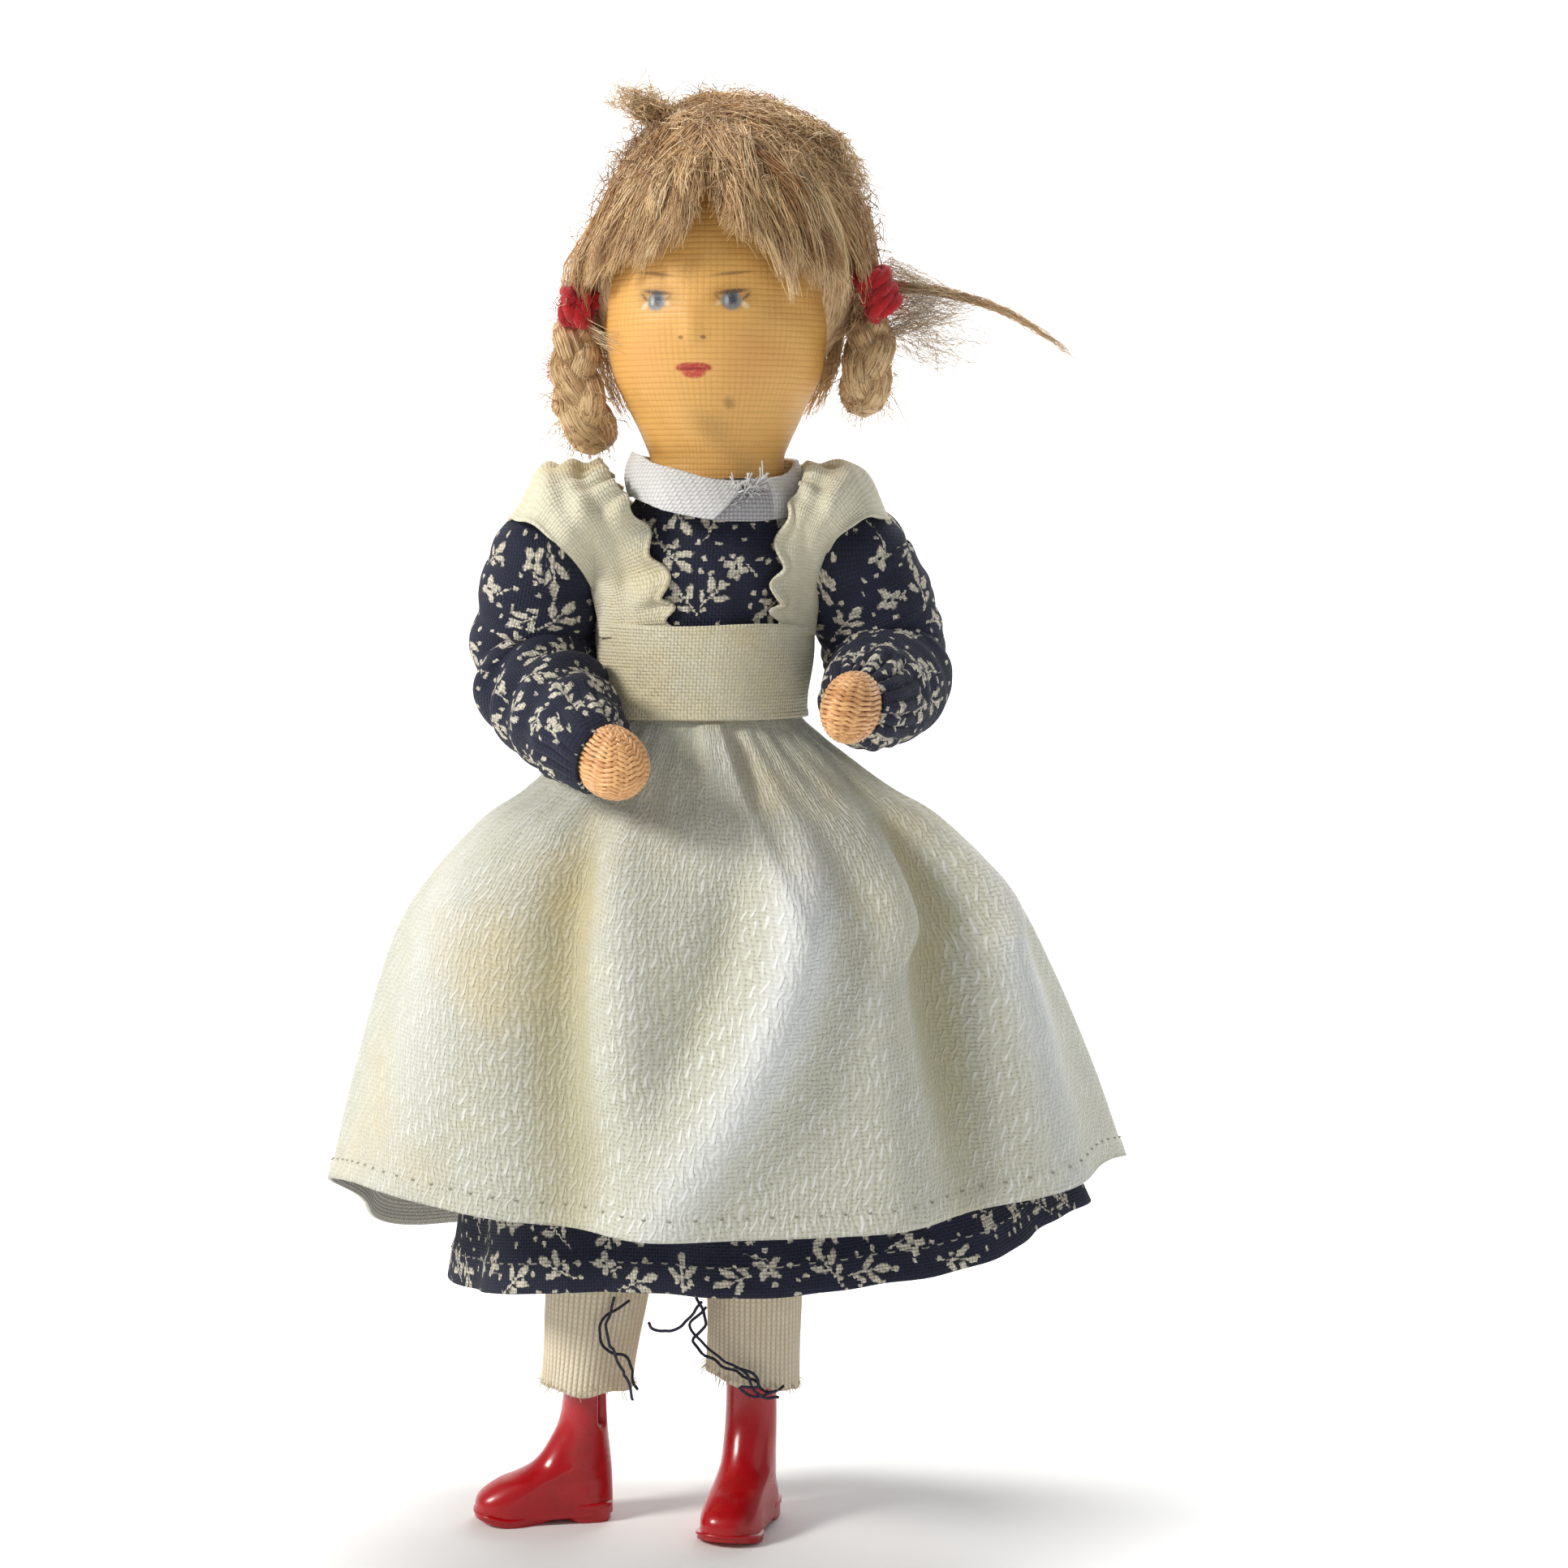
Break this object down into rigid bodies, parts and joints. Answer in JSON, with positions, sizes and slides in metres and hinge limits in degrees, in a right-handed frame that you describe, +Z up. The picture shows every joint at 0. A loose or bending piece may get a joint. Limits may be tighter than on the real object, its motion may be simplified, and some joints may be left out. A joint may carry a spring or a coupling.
{
  "type": "bendable miniature doll",
  "caption": "Small bendable doll of a girl with a painted cloth face, mohair plaits, printed dress, cream apron and moulded boots, posed by its wire core.",
  "frame": {"origin": "centre of the bounding box on the floor plane under the soles", "axes": "+Z up from the soles to the hair, the doll faces -Y, its own right side is at -X"},
  "size_m": [0.0618, 0.0438, 0.1102],
  "materials": {
    "wire": "dull annealed",
    "wadding": "wound cotton wadding",
    "skin_cloth": "painted stiffened cloth",
    "hair": "frizzy mohair",
    "yarn": "soft wool yarn",
    "apron_cotton": "aged broken twill",
    "white_cotton": "plain woven",
    "print_cotton": "printed plain weave",
    "floss": "wound floss with a slight sheen",
    "knit": "fine stockinette",
    "boot_plastic": "moulded, glossy"
  },
  "bodies": {
    "torso": {"spine_wire": "wire", "arm_crossbar_wire": "wire", "trunk_wadding": "wadding", "bodice": "print_cotton", "collar": "white_cotton", "apron_waistband": "apron_cotton", "apron_strap_right": "apron_cotton", "apron_strap_left": "apron_cotton"},
    "neck": {"neck_wire": "wire"},
    "head": {"head_core": "wadding", "face_cloth": "skin_cloth", "hair_wig": "hair", "braid_right": "hair", "braid_left": "hair", "hair_tie_right": "yarn", "hair_tie_left": "yarn", "hair_tie_right_end": "yarn", "loose_lock": "hair"},
    "skirt": {"apron_skirt": "apron_cotton", "dress_skirt": "print_cotton"},
    "seat": {"hip_wire": "wire", "seat_wadding": "wadding"},
    "shoulder_right": {"shoulder_wire_right": "wire"},
    "upper_arm_right": {"upper_arm_wire_right": "wire", "upper_arm_wadding_right": "wadding", "sleeve_right": "print_cotton"},
    "forearm_right": {"forearm_wire_right": "wire", "forearm_wadding_right": "wadding", "hand_right": "floss"},
    "shoulder_left": {"shoulder_wire_left": "wire"},
    "upper_arm_left": {"upper_arm_wire_left": "wire", "upper_arm_wadding_left": "wadding", "sleeve_left": "print_cotton"},
    "forearm_left": {"forearm_wire_left": "wire", "forearm_wadding_left": "wadding", "hand_left": "floss"},
    "thigh_right": {"thigh_wire_right": "wire", "thigh_wadding_right": "wadding", "stocking_right": "knit"},
    "shin_right": {"shin_wire_right": "wire", "shin_wadding_right": "wadding"},
    "foot_right": {"boot_right": "boot_plastic"},
    "thigh_left": {"thigh_wire_left": "wire", "thigh_wadding_left": "wadding", "stocking_left": "knit"},
    "shin_left": {"shin_wire_left": "wire", "shin_wadding_left": "wadding"},
    "foot_left": {"boot_left": "boot_plastic"}
  },
  "joints": [
    {"name": "neck_nod", "type": "hinge", "parent": "torso", "child": "neck", "pos_m": [-0.0007, 0, 0.081], "axis": [1, 0, 0], "range_deg": [-12, 20]},
    {"name": "head_turn", "type": "hinge", "parent": "neck", "child": "head", "pos_m": [-0.0007, 0, 0.081], "axis": [0, 0, 1], "range_deg": [-50, 50]},
    {"name": "shoulder_spread_right", "type": "hinge", "parent": "torso", "child": "shoulder_right", "pos_m": [-0.0099, 0.0005, 0.0752], "axis": [0, 1, 0], "range_deg": [0, 28]},
    {"name": "shoulder_swing_right", "type": "hinge", "parent": "shoulder_right", "child": "upper_arm_right", "pos_m": [-0.0136, 0.0005, 0.0752], "axis": [-1, 0, 0], "range_deg": [-4, 55]},
    {"name": "elbow_right", "type": "hinge", "parent": "upper_arm_right", "child": "forearm_right", "pos_m": [-0.0154, 0.0018, 0.0658], "axis": [0.9104, 0.3961, -0.1196], "range_deg": [-10, 10], "deforming": ["sleeve_right"]},
    {"name": "shoulder_spread_left", "type": "hinge", "parent": "torso", "child": "shoulder_left", "pos_m": [0.0059, 0.0005, 0.0752], "axis": [0, -1, 0], "range_deg": [0, 28]},
    {"name": "shoulder_swing_left", "type": "hinge", "parent": "shoulder_left", "child": "upper_arm_left", "pos_m": [0.0096, 0.0005, 0.0752], "axis": [-1, 0, 0], "range_deg": [-15, 55]},
    {"name": "elbow_left", "type": "hinge", "parent": "upper_arm_left", "child": "forearm_left", "pos_m": [0.0131, 0.0022, 0.0659], "axis": [0.9208, -0.2478, 0.3012], "range_deg": [-14, 28], "deforming": ["sleeve_left"]},
    {"name": "seat_fold", "type": "hinge", "parent": "torso", "child": "seat", "pos_m": [-0.002, 0, 0.05], "axis": [-1, 0, 0], "range_deg": [-10, 80], "deforming": ["apron_skirt", "dress_skirt"]},
    {"name": "skirt_follow", "type": "hinge", "parent": "torso", "child": "skirt", "pos_m": [-0.002, 0, 0.05], "axis": [-1, 0, 0], "range_deg": [-6, 48]},
    {"name": "hip_swing_right", "type": "hinge", "parent": "seat", "child": "thigh_right", "pos_m": [-0.0066, 0, 0.05], "axis": [1, 0, 0], "range_deg": [-20, 20]},
    {"name": "knee_right", "type": "hinge", "parent": "thigh_right", "child": "shin_right", "pos_m": [-0.00902, 0, 0.0291], "axis": [1, 0, 0], "range_deg": [0, 48], "deforming": ["stocking_right"]},
    {"name": "boot_turn_right", "type": "hinge", "parent": "shin_right", "child": "foot_right", "pos_m": [-0.011, 0, 0.012], "axis": [0, 0, 1], "range_deg": [-25, 80]},
    {"name": "hip_swing_left", "type": "hinge", "parent": "seat", "child": "thigh_left", "pos_m": [0.0026, 0, 0.05], "axis": [1, 0, 0], "range_deg": [-20, 20]},
    {"name": "knee_left", "type": "hinge", "parent": "thigh_left", "child": "shin_left", "pos_m": [0.00221, 0, 0.0291], "axis": [1, 0, 0], "range_deg": [0, 48], "deforming": ["stocking_left"]},
    {"name": "boot_turn_left", "type": "hinge", "parent": "shin_left", "child": "foot_left", "pos_m": [0.0019, 0, 0.012], "axis": [0, 0, 1], "range_deg": [-20, 60]}
  ],
  "couplings": [
    {"joint": "skirt_follow", "follows": "seat_fold", "ratio": 0.6}
  ]
}
